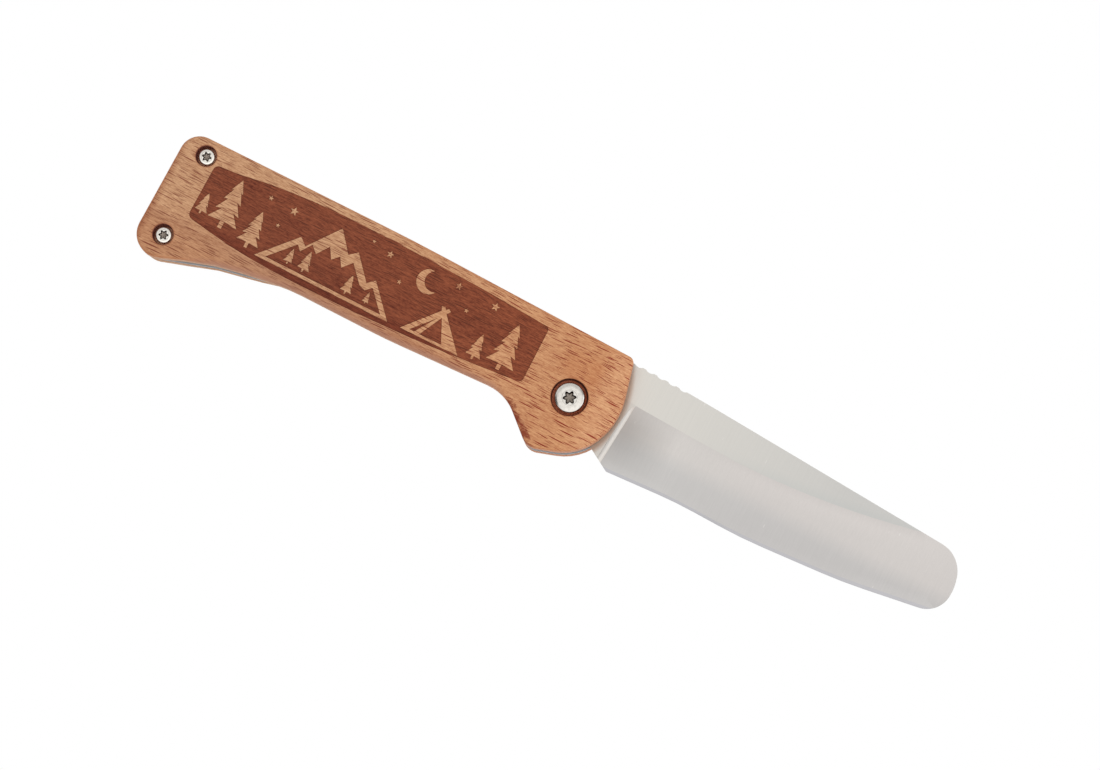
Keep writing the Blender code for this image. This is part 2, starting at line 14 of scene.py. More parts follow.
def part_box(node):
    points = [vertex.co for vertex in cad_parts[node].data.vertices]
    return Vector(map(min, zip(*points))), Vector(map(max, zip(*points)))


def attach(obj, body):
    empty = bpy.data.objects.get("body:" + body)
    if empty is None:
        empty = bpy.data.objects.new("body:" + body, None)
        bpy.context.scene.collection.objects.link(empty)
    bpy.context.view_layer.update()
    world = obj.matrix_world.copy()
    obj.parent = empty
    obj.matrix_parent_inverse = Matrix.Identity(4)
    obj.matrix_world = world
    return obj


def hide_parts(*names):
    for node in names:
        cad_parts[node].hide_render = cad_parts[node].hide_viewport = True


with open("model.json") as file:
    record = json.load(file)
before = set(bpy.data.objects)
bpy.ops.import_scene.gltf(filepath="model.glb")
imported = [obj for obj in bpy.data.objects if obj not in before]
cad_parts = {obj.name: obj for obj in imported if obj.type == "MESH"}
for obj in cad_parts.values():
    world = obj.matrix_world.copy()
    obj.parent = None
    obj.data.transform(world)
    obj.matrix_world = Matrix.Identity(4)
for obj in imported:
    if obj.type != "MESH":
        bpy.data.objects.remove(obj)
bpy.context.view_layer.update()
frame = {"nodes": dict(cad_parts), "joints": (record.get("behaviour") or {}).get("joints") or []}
mm = 0.001

pivotPlace = Vector(frame["joints"][0]["pos_m"])

camera = {
    "target": (-4.75 * mm, 0.47 * mm, 13.1 * mm),
    "distance": 1.6,
    "lean": (0.0721, -0.0640),
    "roll": radians(27.12),
    "frameWidth": 225.4 * mm,
    "sensor": 36.0,
    "clip": (0.01, 100),
}

sharpAngle = radians(26)
levelAngle = radians(0.05)
levelNormal = 0.99

# Detail and roughness of the noise in fine marks
fineNoise = (3, 0.6)

# How near two places or levels of the CAD meshes are when they are the same
weldReach = 0.0001 * mm
levelReach = 0.001 * mm
radiusReach = 0.01 * mm


# sRGB bytes to the linear colour that sockets take
def paint(red, green, blue):
    linear = []
    for byte in (red, green, blue):
        value = byte / 255
        linear.append(value / 12.92 if value <= 0.04045 else ((value + 0.055) / 1.055) ** 2.4)
    return (*linear, 1.0)


# A node's output that adds, multiplies and compares like a number
class Wire:
    def __init__(self, graph, socket):
        self.graph = graph
        self.socket = socket

    def math(self, operation, *others, clamp=False):
        node = self.graph.tree.nodes.new("ShaderNodeMath")
        node.operation = operation
        node.use_clamp = clamp
        for place, value in zip(node.inputs, (self, *others)):
            self.graph.connect(place, value)
        return Wire(self.graph, node.outputs[0])

    def __add__(self, other):
        return self.math("ADD", other)

    def __sub__(self, other):
        return self.math("SUBTRACT", other)

    def __mul__(self, other):
        return self.math("MULTIPLY", other)

    def __truediv__(self, other):
        return self.math("DIVIDE", other)

    def __pow__(self, other):
        return self.math("POWER", other)

    __radd__ = __add__
    __rmul__ = __mul__

    def __rsub__(self, other):
        return self.math("MULTIPLY", -1.0).math("ADD", other)

    def most(self, other):
        return self.math("MAXIMUM", other)

    # 0 below the start, 1 above the end, straight between; start may be above end
    def between(self, start, end):
        return self.math("SUBTRACT", start).math("DIVIDE", end - start, clamp=True)


# Nodes of a material, of the world or of a geometry tree; a short kind is of its own family
class Graph:
    def __init__(self, tree, family="ShaderNode"):
        self.tree = tree
        self.family = family

    def connect(self, place, value):
        if isinstance(value, Wire):
            self.tree.links.new(value.socket, place)
        else:
            place.default_value = value

    def node(self, kind, inputs, output=0, **settings):
        made = self.tree.nodes.new(kind if "Node" in kind else self.family + kind)
        for key, value in settings.items():
            setattr(made, key, value)
        for key, value in inputs.items():
            self.connect(made.inputs[key], value)
        return Wire(self, made.outputs[output])

    def parts(self, vector):
        return [self.node("SeparateXYZ", {0: vector}, k) for k in range(3)]

    def mix(self, share, one, two):
        return self.node("Mix", {0: share, 6: one, 7: two}, 2, data_type="RGBA")


# One procedural material around a Principled shader
class Finish(Graph):
    def __init__(self, name):
        self.material = bpy.data.materials.new(name)
        self.material.use_nodes = True
        super().__init__(self.material.node_tree)
        self.shader = self.tree.nodes["Principled BSDF"]

    def place(self):
        return self.node("TexCoord", {}, "Object")

    # a place, or object coordinates, with a number of cells per millimetre along each axis
    def cells(self, x, y, z, place=None):
        return self.node("VectorMath", {0: place or self.place(), 1: (x / mm, y / mm, z / mm)},
                         operation="MULTIPLY")

    def tint(self, share, colour, factors):
        return self.node("Mix", {0: share, 6: colour, 7: (*factors, 1)}, 2, data_type="RGBA",
                         blend_type="MULTIPLY")

    def noise(self, cells, detail=2, rough=0.5):
        return self.node("TexNoise", {"Vector": cells, "Scale": 1.0, "Detail": detail,
                                      "Roughness": rough}, "Fac")

    # cloudy noise that is alike along all axes
    def cloud(self, cells, detail=fineNoise[0], rough=fineNoise[1]):
        return self.noise(self.cells(cells, cells, cells), detail, rough)

    # scattered spots: the distance from the nearest one, and two random numbers of its own
    def spots(self, cells, level=False):
        given = {"Vector": cells, "Scale": 1.0}
        reach, colour = (self.node("TexVoronoi", given, output,
                                   voronoi_dimensions="2D" if level else "3D")
                         for output in ("Distance", "Color"))
        return reach, *(self.node("SeparateColor", {0: colour}, k) for k in range(2))

    def attribute(self, name):
        return self.node("Attribute", {}, "Fac", attribute_name=name)

    def bump(self, height, strength, depth):
        return self.node("Bump", {"Height": height, "Strength": strength, "Distance": depth})

    def set(self, **values):
        for key, value in values.items():
            self.connect(self.shader.inputs[key.replace("_", " ")], value)


# Along the handle and across it, from the pivot
def fromPivot(finish):
    x, y, z = finish.parts(finish.place())
    return {"x": x - pivotPlace.x, "y": y - pivotPlace.y}


def distance(x, y):
    return (x * x + y * y).math("SQRT")


# Whether a place is in a bore: 1 up to the inner offset from its wall, 0 beyond the outer one,
# both in millimetres
def nearBores(finish, bores, inner, outer):
    x, y, z = finish.parts(finish.place())
    return reduce(Wire.most, [
        distance(x - centre.x, y - centre.y).between(radius + outer * mm, radius + inner * mm)
        for centre, radius in bores])


# How deep into a zone: 1 inside the ends of its spans, which name a wire each and say in
# millimetres where they start and where they are whole
def within(wires, spans):
    share = 1.0
    for name, start, end in spans:
        share = wires[name].between(start * mm, end * mm) * share
    return share


# Cells are per millimetre along x, y and z. A span gives where something starts and where it
# is whole.
grain = {
    "sway": ((0.035, 0.16, 0.1), 2.6 * mm),
    "streaks": (((0.03, 0.30, 0.3), 0.18), ((0.07, 1.5, 0.8), 0.16), ((0.22, 3.8, 2.4), 0.55),
                ((1.4, 5.5, 4.5), 0.60)),
    "streakSpan": (0.56, 0.92),
    "warmSpan": (-60 * mm, 3 * mm),
    "flecks": (((0.11, 2.15), 0.205, 0.98), ((0.20, 3.6), 0.225, 0.68)),
    "leastFleck": 0.5,
    "fleckZone": ((0.04, 0.20, 0.20), (0.35, 0.65), 0.3),
    "luckSpan": (1.15, 1.30),
    "fleckSpan": (1.0, 0.55),
    "fleckStrength": (0.8, 0.2),
    "fleckHighlightSpan": (1.9, 1.0),
    "fleckHighlightShare": 0.45,
    "roughSpread": 0.12,
    "specular": 0.2,
    "streakRelief": -0.4,
    "relief": (0.5, 0.06 * mm),
}


# 0 at the butt, 1 at the pivot
def warmth(finish):
    return fromPivot(finish)["x"].between(*grain["warmSpan"])


# A tone that turns from the butt's to the front's
def drift(finish, wood, part):
    return finish.mix(warmth(finish), paint(*wood["butt" + part]), paint(*wood["front" + part]))


# Beech with streaks and short red-brown flecks along the grain, which sway a little, each fleck
# ringed with a painted highlight. For faces that aren't level, a wood's deep is the flecks'
# cells per millimetre in height.
def beech(name, wood):
    finish = Finish(name)
    x, y, z = finish.parts(finish.place())
    cells, reach = grain["sway"]
    sway = (finish.noise(finish.cells(*cells), 1) - 0.5) * reach
    place = finish.node("CombineXYZ", {0: x, 1: y + sway, 2: z})
    shade = 0.0
    for cells, weight in grain["streaks"]:
        shade = finish.noise(finish.cells(*cells, place), *fineNoise) * weight + shade
    shade = shade.between(*grain["streakSpan"])
    light = drift(finish, wood, "Light")
    colour = finish.mix(shade, light, drift(finish, wood, "Dark"))

    cells, span, gain = grain["fleckZone"]
    zone = finish.noise(finish.cells(*cells, place), 2).between(*span) * gain
    flecks, fleckHighlights, deep = [], [], wood["deep"]
    for cells, width, chosen in grain["flecks"]:
        reach, luck, size = finish.spots(finish.cells(*cells, deep or 1.0, place), not deep)
        shown = (luck + zone).between(*(end - chosen for end in grain["luckSpan"]))
        share = reach / (size * width + width * grain["leastFleck"])
        flecks.append(share.between(*grain["fleckSpan"]) * shown)
        fleckHighlights.append(share.between(*grain["fleckHighlightSpan"]) * shown)
    flecks, fleckHighlights = (reduce(Wire.most, marks) for marks in (flecks, fleckHighlights))
    # painted highlight: a ring of the light tone round each fleck, for light catching its edge
    colour = finish.mix(fleckHighlights * grain["fleckHighlightShare"], colour, light)
    strength, more = grain["fleckStrength"]
    colour = finish.mix(flecks * (warmth(finish) * more + strength) * wood["fleckShare"], colour,
                        drift(finish, wood, "Fleck"))
    finish.set(Base_Color=colour, Roughness=shade * grain["roughSpread"] + wood["rough"],
               Specular_IOR_Level=grain["specular"],
               Normal=finish.bump(shade * grain["streakRelief"] - flecks, *grain["relief"]))
    return finish, colour


# Zones of the faces: the spans from the pivot in millimetres, and what the colour is
# multiplied by there
faceZones = {
    "flare": ((("x", -62, -80), ("y", -1, -8)), (0.88, 0.78, 0.74)),
    "strip": ((("y", -3.2, -4.8), ("x", -14, -24)), (0.79, 0.70, 0.71)),
    "front": ((("x", 2.5, 6.5),), (1.11, 1.19, 1.29)),
    "overPivot": ((("x", -6, -3), ("x", 5, 3), ("y", 3, 5), ("y", 10.5, 8.5)),
                  (0.945, 0.865, 0.815)),
    "butt": ((("x", -93.6, -95),), (0.76, 0.62, 0.58)),
}
panelLow = ((("y", -1.4, -3.4), ("x", -25, -31)), (0.76, 0.62, 0.62))

# The shares of the faces' scorched rings, of the painted shade on the rims and of the painted
# shading on the belly, and the smudge in the guard's hollow, which starts at a place in
# millimetres from the pivot and runs the way that it aims
faceWear = {
    "haloSpan": (0.0, 0.5),
    "haloShare": 0.6,
    "rimShadeShare": 0.6,
    "frontRimShadeLoss": 0.4,
    "bellyShadeShare": 0.7,
    "smudgeStart": (-9.6, -6.9),
    "smudgeAim": (0.759, -0.651),
    "smudgeSpans": (("along", -2.5, 0.5), ("along", 10.5, 8.0), ("inward", 1.1, 0.1)),
    "smudgeShare": 0.85,
    "blotchCells": (0.5, 0.6, 0.6),
    "blotchLift": 0.16,
    "blotchSpan": (0.52, 0.70),
    "blotchEnds": (0.0, 0.3),
    "scorchEnds": (0.0, 0.4),
}


# The outer faces: a scorched ring at each screw, painted shade on the rounded rims that is
# weaker at the front, painted shading in pink-grey on the belly's rounding, a pale front, red
# wood over the pivot, dirt in the guard's hollow, and darker tones at the butt and on the flare
def beechFaces(name, wood, bores):
    finish, colour = beech(name, wood)
    wires = fromPivot(finish)
    shares = {key: within(wires, spans) for key, (spans, factors) in faceZones.items()}
    shares["strip"] = shares["strip"] * (1 - shares["flare"])
    for key, (spans, factors) in faceZones.items():
        colour = finish.tint(shares[key], colour, factors)
    halo = nearBores(finish, bores, *faceWear["haloSpan"]) ** 2
    colour = finish.mix(halo * faceWear["haloShare"], colour, paint(*wood["halo"]))
    # painted shade: the rounded rims darkened, less at the front, where they catch the light
    rim = finish.attribute("rim")
    rimShadeShare = faceWear["rimShadeShare"] - shares["front"] * faceWear["frontRimShadeLoss"]
    colour = finish.mix(rim * rimShadeShare, colour, paint(*wood["rim"]))
    # painted shading: a pink-grey tone on the belly's rounding
    colour = finish.mix(finish.attribute("belly") * faceWear["bellyShadeShare"], colour,
                        paint(*wood["belly"]))

    (startX, startY), (aimX, aimY) = faceWear["smudgeStart"], faceWear["smudgeAim"]
    x, y = wires["x"] - startX * mm, wires["y"] - startY * mm
    ends = within({"along": x * aimX + y * aimY, "inward": y * aimX - x * aimY},
                  faceWear["smudgeSpans"])
    blotch = finish.noise(finish.cells(*faceWear["blotchCells"]), *fineNoise)
    smudge = (ends * faceWear["blotchLift"] + blotch).between(*faceWear["blotchSpan"])
    smudge = smudge * ends.between(*faceWear["blotchEnds"])
    smudge = smudge.most(ends.between(*faceWear["scorchEnds"]) * rim)
    finish.set(Base_Color=finish.mix(smudge * faceWear["smudgeShare"], colour,
                                     paint(*wood["smudge"])))
    return finish.material


# The etched panel, burnt darker along its lower border
def beechPanel(name, wood):
    finish, colour = beech(name, wood)
    spans, factors = panelLow
    low = within(fromPivot(finish), spans)
    finish.set(Base_Color=finish.tint(low, colour, factors))
    return finish.material


# How the screw seats are charred and where painted shadow lies in them: offsets from the face
# and from the bore's wall in millimetres, and how far the part free of painted shadow is off the
# bore's centre
seatWear = {
    "topSpan": (-0.16, -0.06),
    "wallSpan": (-0.17, -0.08),
    "shadowSpan": (-0.30, -0.02),
    "buttShift": (0.30 * mm, -0.16 * mm),
    "pivotShift": (-0.20 * mm, -0.08 * mm),
    "share": 0.9,
}


# The cut screw seats: brown, charred along the wall, and with a painted shadow of the head that
# widens the dark band on the side that the part free of it is shifted away from
def beechSeats(name, wood, bores):
    finish, colour = beech(name, wood)
    unshadowed = []
    for centre, radius in bores:
        kind = "pivot" if (centre - pivotPlace.xy).length < radius else "butt"
        unshadowed.append((centre + Vector(seatWear[kind + "Shift"]), radius))
    x, y, z = finish.parts(finish.place())
    low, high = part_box("rear_scale")[0].z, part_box("front_scale")[1].z
    halfway = (low + high) / 2
    height = (z - halfway).math("ABSOLUTE")
    top = height.between(*(high - halfway + end * mm for end in seatWear["topSpan"]))
    wall = 1 - nearBores(finish, bores, *seatWear["wallSpan"])
    # painted shadow: the head's shadow as a dark band on one side of each seat
    side = 1 - nearBores(finish, unshadowed, *seatWear["shadowSpan"])
    charAndShadow = top.most(wall).most(side)
    finish.set(Base_Color=finish.mix(charAndShadow * seatWear["share"], colour,
                                     drift(finish, wood, "CharAndShadow")))
    return finish.material


brushing = {
    "wideCells": 0.25,
    "cloud": (0.05, 2, 0.5),
    "weights": (0.6, 0.4),
    "toneSpan": (0.35, 0.65),
    "roughSpan": (0.3, 0.7),
    "roughSpread": 0.08,
    "cloudSpread": 0.06,
    "relief": (0.5, 0.004 * mm),
}


# Brushed steel: scratches run along one axis, with the given cells per millimetre
def brushed(name, colour, rough, scratch, contrast, metallic=1.0):
    finish = Finish(name)
    fine = finish.noise(finish.cells(*scratch), 2, 0.6)
    wide = finish.noise(finish.cells(*(cells * brushing["wideCells"] for cells in scratch)), 2)
    cloud = finish.cloud(*brushing["cloud"])
    fineWeight, wideWeight = brushing["weights"]
    lines = fine * fineWeight + wide * wideWeight
    dark = tuple(part * (1 - contrast) for part in paint(*colour)[:3]) + (1.0,)
    base = finish.mix(lines.between(*brushing["toneSpan"]), dark, paint(*colour))
    finish.set(Base_Color=base, Metallic=metallic,
               Roughness=lines.between(*brushing["roughSpan"]) * brushing["roughSpread"]
               + (cloud * brushing["cloudSpread"] + rough),
               Normal=finish.bump(lines, *brushing["relief"]))
    return finish, base


# The blade's steels: tone, roughness, scratch cells, contrast, and zones of painted shade and
# painted highlight as on the wood's faces, where rise is the height over the grind's upper line
bladeSteels = {
    "steelFlat": ((220, 218, 214), 0.34, (9.0, 0.12, 9.0), 0.05, (
        # painted shade: darker towards the tip, and in bands just above the grind's upper line
        ((("x", 12, 62),), (0.84, 0.855, 0.885)),
        ((("rise", 2.4, 0.2), ("x", 28, 46)), (0.945, 0.965, 0.97)),
        ((("rise", 0.45, 0.1), ("x", 44, 34)), (0.93, 0.93, 0.93)),
    )),
    "steelGrind": ((213, 210, 209), 0.36, (7.0, 0.10, 7.0), 0.07, (
        # painted shade: darker towards the tip, in a patch by the plunge and lower down; painted
        # highlight: a brighter band under the grind's upper line
        ((("x", 24, 44),), (0.95, 0.945, 0.95)),
        ((("x", 24, 13.5), ("y", -10, -1), ("y", 9, 1)), (0.70, 0.693, 0.686)),
        ((("y", 0, -3.5),), (0.895, 0.915, 0.93)),
        ((("rise", -4, -1.5), ("x", 30, 42), ("x", 84, 66)), (1.035, 1.03, 1.03)),
    )),
}

# The grind's upper line by its lowest place, height and curve, the round front of the handle,
# the painted reflection of the handle's wood at a gap from it, and single bright scratches
bladeWear = {
    "grindLine": (33 * mm, 3.9 * mm, 2.1),
    "handleArc": ((-9.33 * mm, 1.65 * mm), 19.95 * mm),
    # painted reflection and painted shade: the wood's brown on the blade beside the handle
    "handleReflection": ((("gap", 1.1, 0.1), ("gap", -2.0, -0.6)), (0.70, 0.54, 0.45)),
    "scratchCells": (0.9, 0.25, 0.2),
    "scratchSpan": (0.12, 0.06),
    "scratchLuck": (0.75, 1.0),
    "scratchShare": 0.5,
    "scratchTone": (236, 234, 232),
}


# The blade: painted shade darkens its tone a little towards the tip and by the plunge, a painted
# reflection of the handle's wood browns it by the handle, and it has single scratches across it
def bladeSteel(name):
    colour, rough, scratch, contrast, zones = bladeSteels[name]
    finish, base = brushed(name, colour, rough, scratch, contrast)
    wires = fromPivot(finish)
    x, y = wires["x"], wires["y"]
    lowest, height, curve = bladeWear["grindLine"]
    wires["rise"] = y - (x - lowest) * (x - lowest) * curve - height
    (centreX, centreY), radius = bladeWear["handleArc"]
    wires["gap"] = distance(x - centreX, y - centreY) - radius
    for spans, factors in (*zones, bladeWear["handleReflection"]):
        base = finish.tint(within(wires, spans), base, factors)
    reach, luck, size = finish.spots(finish.cells(*bladeWear["scratchCells"]))
    lines = reach.between(*bladeWear["scratchSpan"]) * luck.between(*bladeWear["scratchLuck"])
    finish.set(Base_Color=finish.mix(lines * bladeWear["scratchShare"], base,
                                     paint(*bladeWear["scratchTone"])))
    return finish.material


# The clouds that dull other metals: cells per millimetre, span and share of the dull tone, and
# how the roughness spreads and starts
clouds = {
    "turned": (1.6, (0.40, 0.75), 0.5, (0.10, 0.10)),
    "recess": (3, (0.3, 0.7), 1.0, (0.2, 0.4)),
    "bronze": (0.7, (0.35, 0.7), 1.0, (0.15, 0.3)),
}


# Metal that a cloud of a duller tone lies over
def cloudy(name, kind, light, dull, metallic=1.0):
    finish = Finish(name)
    cells, span, share, (spread, rough) = clouds[kind]
    cloud = finish.cloud(cells)
    base = finish.mix(cloud.between(*span) * share, paint(*light), paint(*dull))
    finish.set(Base_Color=base, Metallic=metallic, Roughness=cloud * spread + rough)
    return finish, base


turning = {
    "ringPitch": 0.16 * mm,
    "ringSpan": (0.2, 1.0),
    "ringTint": (0.93, 0.93, 0.93),
    "relief": (0.25, 0.002 * mm),
}


# Bright turned steel with fine rings about each screw's own axis
def turnedSteel(name, light, dull):
    finish, base = cloudy(name, "turned", light, dull)
    rings = (finish.attribute("turned") * (2 * pi / turning["ringPitch"])).math("SINE")
    finish.set(Base_Color=finish.tint(rings.between(*turning["ringSpan"]), base,
                                      turning["ringTint"]),
               Normal=finish.bump(rings, *turning["relief"]))
    return finish.material


recessLook = {
    # the wall tone is painted shade in the recess
    "wall": (56, 44, 40),
    "floor": ((138, 128, 118), (170, 160, 150)),
    "floorSpan": (0.9, 1.0),
    "metallic": 0.9,
}


# The star recess: walls painted dark as shade in the recess, round a dull grey floor
def recessSteel(name):
    finish, floor = cloudy(name, "recess", *recessLook["floor"], recessLook["metallic"])
    depth = finish.attribute("depth").between(*recessLook["floorSpan"])
    finish.set(Base_Color=finish.mix(depth, paint(*recessLook["wall"]), floor))
    return finish.material


# A CAD node's own copy with its triangles joined
def joined(node):
    mesh = bmesh.new()
    mesh.from_mesh(frame["nodes"][node].data)
    bmesh.ops.remove_doubles(mesh, verts=mesh.verts, dist=weldReach)
    mesh.normal_update()
    return mesh


# Closed loops where a level face of the node meets its walls, longest first
def levelLoops(node, level):
    mesh = joined(node)
    links = {}
    for edge in mesh.edges:
        if any(abs(v.co.z - level) > levelReach for v in edge.verts):
            continue
        if len({abs(face.normal.z) > levelNormal for face in edge.link_faces}) != 2:
            continue
        one, two = (v.co.xy.to_tuple(8) for v in edge.verts)
        links.setdefault(one, []).append(two)
        links.setdefault(two, []).append(one)
    mesh.free()
    loops = []
    while links:
        here = next(iter(links))
        loop = []
        while here in links:
            loop.append(Vector(here))
            ahead = [spot for spot in links.pop(here) if spot in links]
            if not ahead:
                break
            here = ahead[0]
        loops.append(loop)
    return sorted(loops, key=loopLength, reverse=True)


def loopLength(loop):
    return sum((loop[k] - loop[k - 1]).length for k in range(len(loop)))


def middle(loop):
    return sum(loop, Vector((0, 0))) / len(loop)


# The place at a distance and an angle from another one
def spoke(x, y, reach, turn):
    return Vector((x + reach * cos(turn), y + reach * sin(turn)))


def circle(centre, radius, facets):
    return [spoke(*centre, radius, 2 * pi * k / facets) for k in range(facets)]


# The place on a closed loop that is nearest to a spot
def nearest(loop, spot):
    best = None
    for k in range(len(loop)):
        side = loop[k] - loop[k - 1]
        share = min(1, max(0, (spot - loop[k - 1]).dot(side) / side.length_squared))
        here = loop[k - 1] + side * share
        if best is None or (here - spot).length < (best - spot).length:
            best = here
    return best


def raised(mesh, loop, z):
    levels = z if isinstance(z, list) else [z] * len(loop)
    return [mesh.verts.new((spot.x, spot.y, level)) for spot, level in zip(loop, levels)]


# Quads between two rings of vertices
def band(mesh, one, two, slot):
    for k in range(len(one)):
        face = mesh.faces.new((one[k - 1], one[k], two[k], two[k - 1]))
        face.material_index = slot


# Whether a spot lies inside an odd number of closed loops
def enclosed(spot, loops):
    odd = False
    for loop in loops:
        for k in range(len(loop)):
            one, two = loop[k - 1], loop[k]
            if (one.y > spot.y) != (two.y > spot.y):
                share = (spot.y - one.y) / (two.y - one.y)
                odd ^= spot.x < one.x + (two.x - one.x) * share
    return odd


# A flat face with holes, from rings of vertices, the outer ring first
def sheet(mesh, rings, slot):
    corners = [v for ring in rings for v in ring]
    loops = [[v.co.xy / mm for v in ring] for ring in rings]
    sides, start = [], 0
    for ring in rings:
        sides += [(start + k, start + (k + 1) % len(ring)) for k in range(len(ring))]
        start += len(ring)
    spots, lines, trios, came = delaunay_2d_cdt(
        [spot for loop in loops for spot in loop], sides, [], 0, 1e-6)[:4]
    for trio in trios:
        if enclosed(sum((spots[k] for k in trio), Vector((0, 0))) / 3, loops):
            face = mesh.faces.new([corners[came[k][0]] for k in trio])
            face.material_index = slot


# A new object in the scene
def added(name, data):
    thing = bpy.data.objects.new(name, data)
    bpy.context.scene.collection.objects.link(thing)
    return thing


def piece(name, mesh, finishes, edgeBreak=0.0):
    data = bpy.data.meshes.new(name)
    mesh.to_mesh(data)
    mesh.free()
    for finish in finishes:
        data.materials.append(finish)
    return dressed(name, data, edgeBreak)


# The mesh as a piece: shaded smooth up to the sharp angle, with rounded edges if asked
def dressed(name, data, edgeBreak=0.0):
    data.shade_smooth()
    data.set_sharp_from_angle(angle=sharpAngle)
    thing = added(name, data)
    if edgeBreak:
        soften = thing.modifiers.new("edgeBreak", "BEVEL")
        soften.width = edgeBreak
        soften.segments = 2
        soften.limit_method = "ANGLE"
        soften.angle_limit = sharpAngle
    weigh = thing.modifiers.new("evenShade", "WEIGHTED_NORMAL")
    weigh.keep_sharp = True
    thing.data = flattened(thing)
    thing.modifiers.clear()
    return thing


# The object's mesh with its modifiers worked out
def flattened(thing):
    return bpy.data.meshes.new_from_object(
        thing.evaluated_get(bpy.context.evaluated_depsgraph_get()))


# A finer copy of a CAD node: faces in one plane become one face before its edges are softened
def softened(name, node, finishes, edgeBreak, choose=None):
    mesh = joined(node)
    bmesh.ops.dissolve_limit(mesh, angle_limit=levelAngle, verts=mesh.verts, edges=mesh.edges)
    mesh.normal_update()
    if choose:
        for face in mesh.faces:
            face.material_index = choose(face)
    return piece(name, mesh, finishes, edgeBreak)


def settle(thing, body, slot, *nodes):
    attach(thing, body)
    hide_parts(*nodes)


print("frame read, helpers ready")

frontLow, frontHigh = (corner.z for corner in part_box("front_scale"))
innerLoops = levelLoops("front_scale", frontLow)
outerLoops = levelLoops("front_scale", frontHigh)
handleRim = outerLoops[0]
handleOutline = [nearest(innerLoops[0], spot) for spot in handleRim]
bores = []
for loop in outerLoops[1:]:
    centre = middle(loop)
    hole = min(innerLoops[1:], key=lambda ring: (middle(ring) - centre).length)
    bores.append((centre, (loop[0] - centre).length, (hole[0] - centre).length))
print("outline of", len(handleOutline), "points and", len(bores), "bores read from the frame")


# A polygon whose corners, given with how far from each it starts, are curved
def rounded(corners, steps=5):
    loop = []
    for k, (x, y, reach) in enumerate(corners):
        here = Vector((x, y))
        back = (Vector(corners[k - 1][:2]) - here).normalized()
        ahead = (Vector(corners[(k + 1) % len(corners)][:2]) - here).normalized()
        for step in range(steps + 1):
            share = step / steps
            one = here + back * reach * (1 - share)
            two = here + ahead * reach * share
            loop.append(one.lerp(two, share))
    return loop


# Shares of the tree's height: half the trunk's width and its height, the lowest branches, the
# crown's height, half its width and how much of that goes, and how notches narrow and rise
pineShape = {
    "trunk": (0.04, 0.14),
    "skirt": 0.12,
    "crown": 0.84,
    "width": (0.30, 0.80),
    "notch": (0.40, 0.03),
}


def pine(x, y, tall, tiers=4):
    (trunk, trunkTall), (skirtWide, narrowing) = pineShape["trunk"], pineShape["width"]
    skirt, crown, (notch, lift) = (pineShape[key] for key in ("skirt", "crown", "notch"))
    side = [(trunk, 0.0), (trunk, trunkTall)]
    for k in range(tiers):
        low = skirt + crown * k / tiers
        wide = skirtWide * (1 - narrowing * k / tiers)
        side.append((wide, low))
        if k < tiers - 1:
            side.append((wide * notch, low + crown / tiers + lift))
    side.append((0.0, 1.0))
    right = [Vector((x + across * tall, y + up * tall)) for across, up in side]
    left = [Vector((2 * x - spot.x, spot.y)) for spot in right[-2::-1]]
    return right + left


def star(x, y, radius, tips=5, inner=0.42):
    return [spoke(x, y, radius * (inner if k % 2 else 1), pi / 2 + pi * k / tips)
            for k in range(2 * tips)]


# The disc that cuts the moon: how far off it is, its radius, and in which direction
crescentCut = {"reach": 0.50, "radius": 0.84, "aim": radians(25)}


# The part of a disc that another disc beside it leaves
def crescent(x, y, radius, steps=22):
    reach, cut = (crescentCut[key] * radius for key in ("reach", "radius"))
    aim = crescentCut["aim"]
    horn = acos((reach ** 2 + radius ** 2 - cut ** 2) / (2 * reach * radius))
    inner = acos((radius * cos(horn) - reach) / cut)
    outside = [spoke(x, y, radius, aim + horn + (2 * pi - 2 * horn) * k / steps)
               for k in range(steps + 1)]
    hollow = [spoke(x + reach * cos(aim), y + reach * sin(aim), cut,
                    aim - inner - (2 * pi - 2 * inner) * k / steps) for k in range(1, steps)]
    return outside + hollow


def points(*pairs):
    return [Vector(pair) for pair in pairs]


# The etched panel and the motifs on it, in millimetres from the pivot
panelOutline = rounded([
    (-87.1, -2.6, 1.3), (-75.0, -4.35, 5.0), (-64.0, -4.8, 5.0), (-48.0, -4.6, 6.0),
    (-32.6, -3.9, 6.0), (-20.0, -2.8, 5.0), (-10.15, -1.75, 0.9), (-10.15, 10.85, 0.9),
    (-25.0, 11.7, 5.0), (-45.0, 12.2, 6.0), (-62.0, 12.2, 6.0), (-75.0, 11.1, 5.0),
    (-81.5, 9.9, 2.0), (-86.8, 9.5, 1.2),
])

